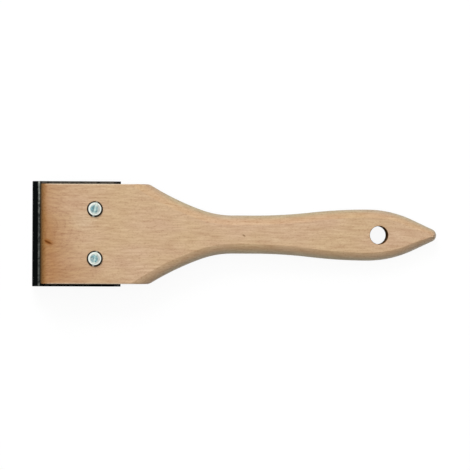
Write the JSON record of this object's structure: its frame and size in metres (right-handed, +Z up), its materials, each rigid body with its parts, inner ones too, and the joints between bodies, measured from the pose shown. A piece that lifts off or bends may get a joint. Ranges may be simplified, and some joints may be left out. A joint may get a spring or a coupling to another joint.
{
  "type": "hand scraper",
  "caption": "Pull scraper with a flat, waisted wooden handle and a hooked steel blade clamped under its head by slotted screws.",
  "frame": {"origin": "on the surface that the tool lies on, under the middle of its bounding box, with the cutting edge and the tip of the tail touching that surface", "axes": "+X from the blade towards the tail, +Y across the tool, +Z up; the handle leans 4.3 degrees, its head higher than its tail"},
  "size_m": [0.2464, 0.064, 0.0327],
  "materials": {
    "beech": "planed and sanded beech, bare",
    "spring_steel": "dark oil-hardened strip, bright ground bevel",
    "black_steel": "semi-gloss black",
    "zinc_plated_steel": "bright zinc plate"
  },
  "bodies": {
    "root": {"handle": "beech", "scraper_blade": "spring_steel", "clamp_plate": "black_steel", "slotted_screws": "zinc_plated_steel", "washers": "zinc_plated_steel", "hex_nuts": "zinc_plated_steel"}
  },
  "joints": []
}
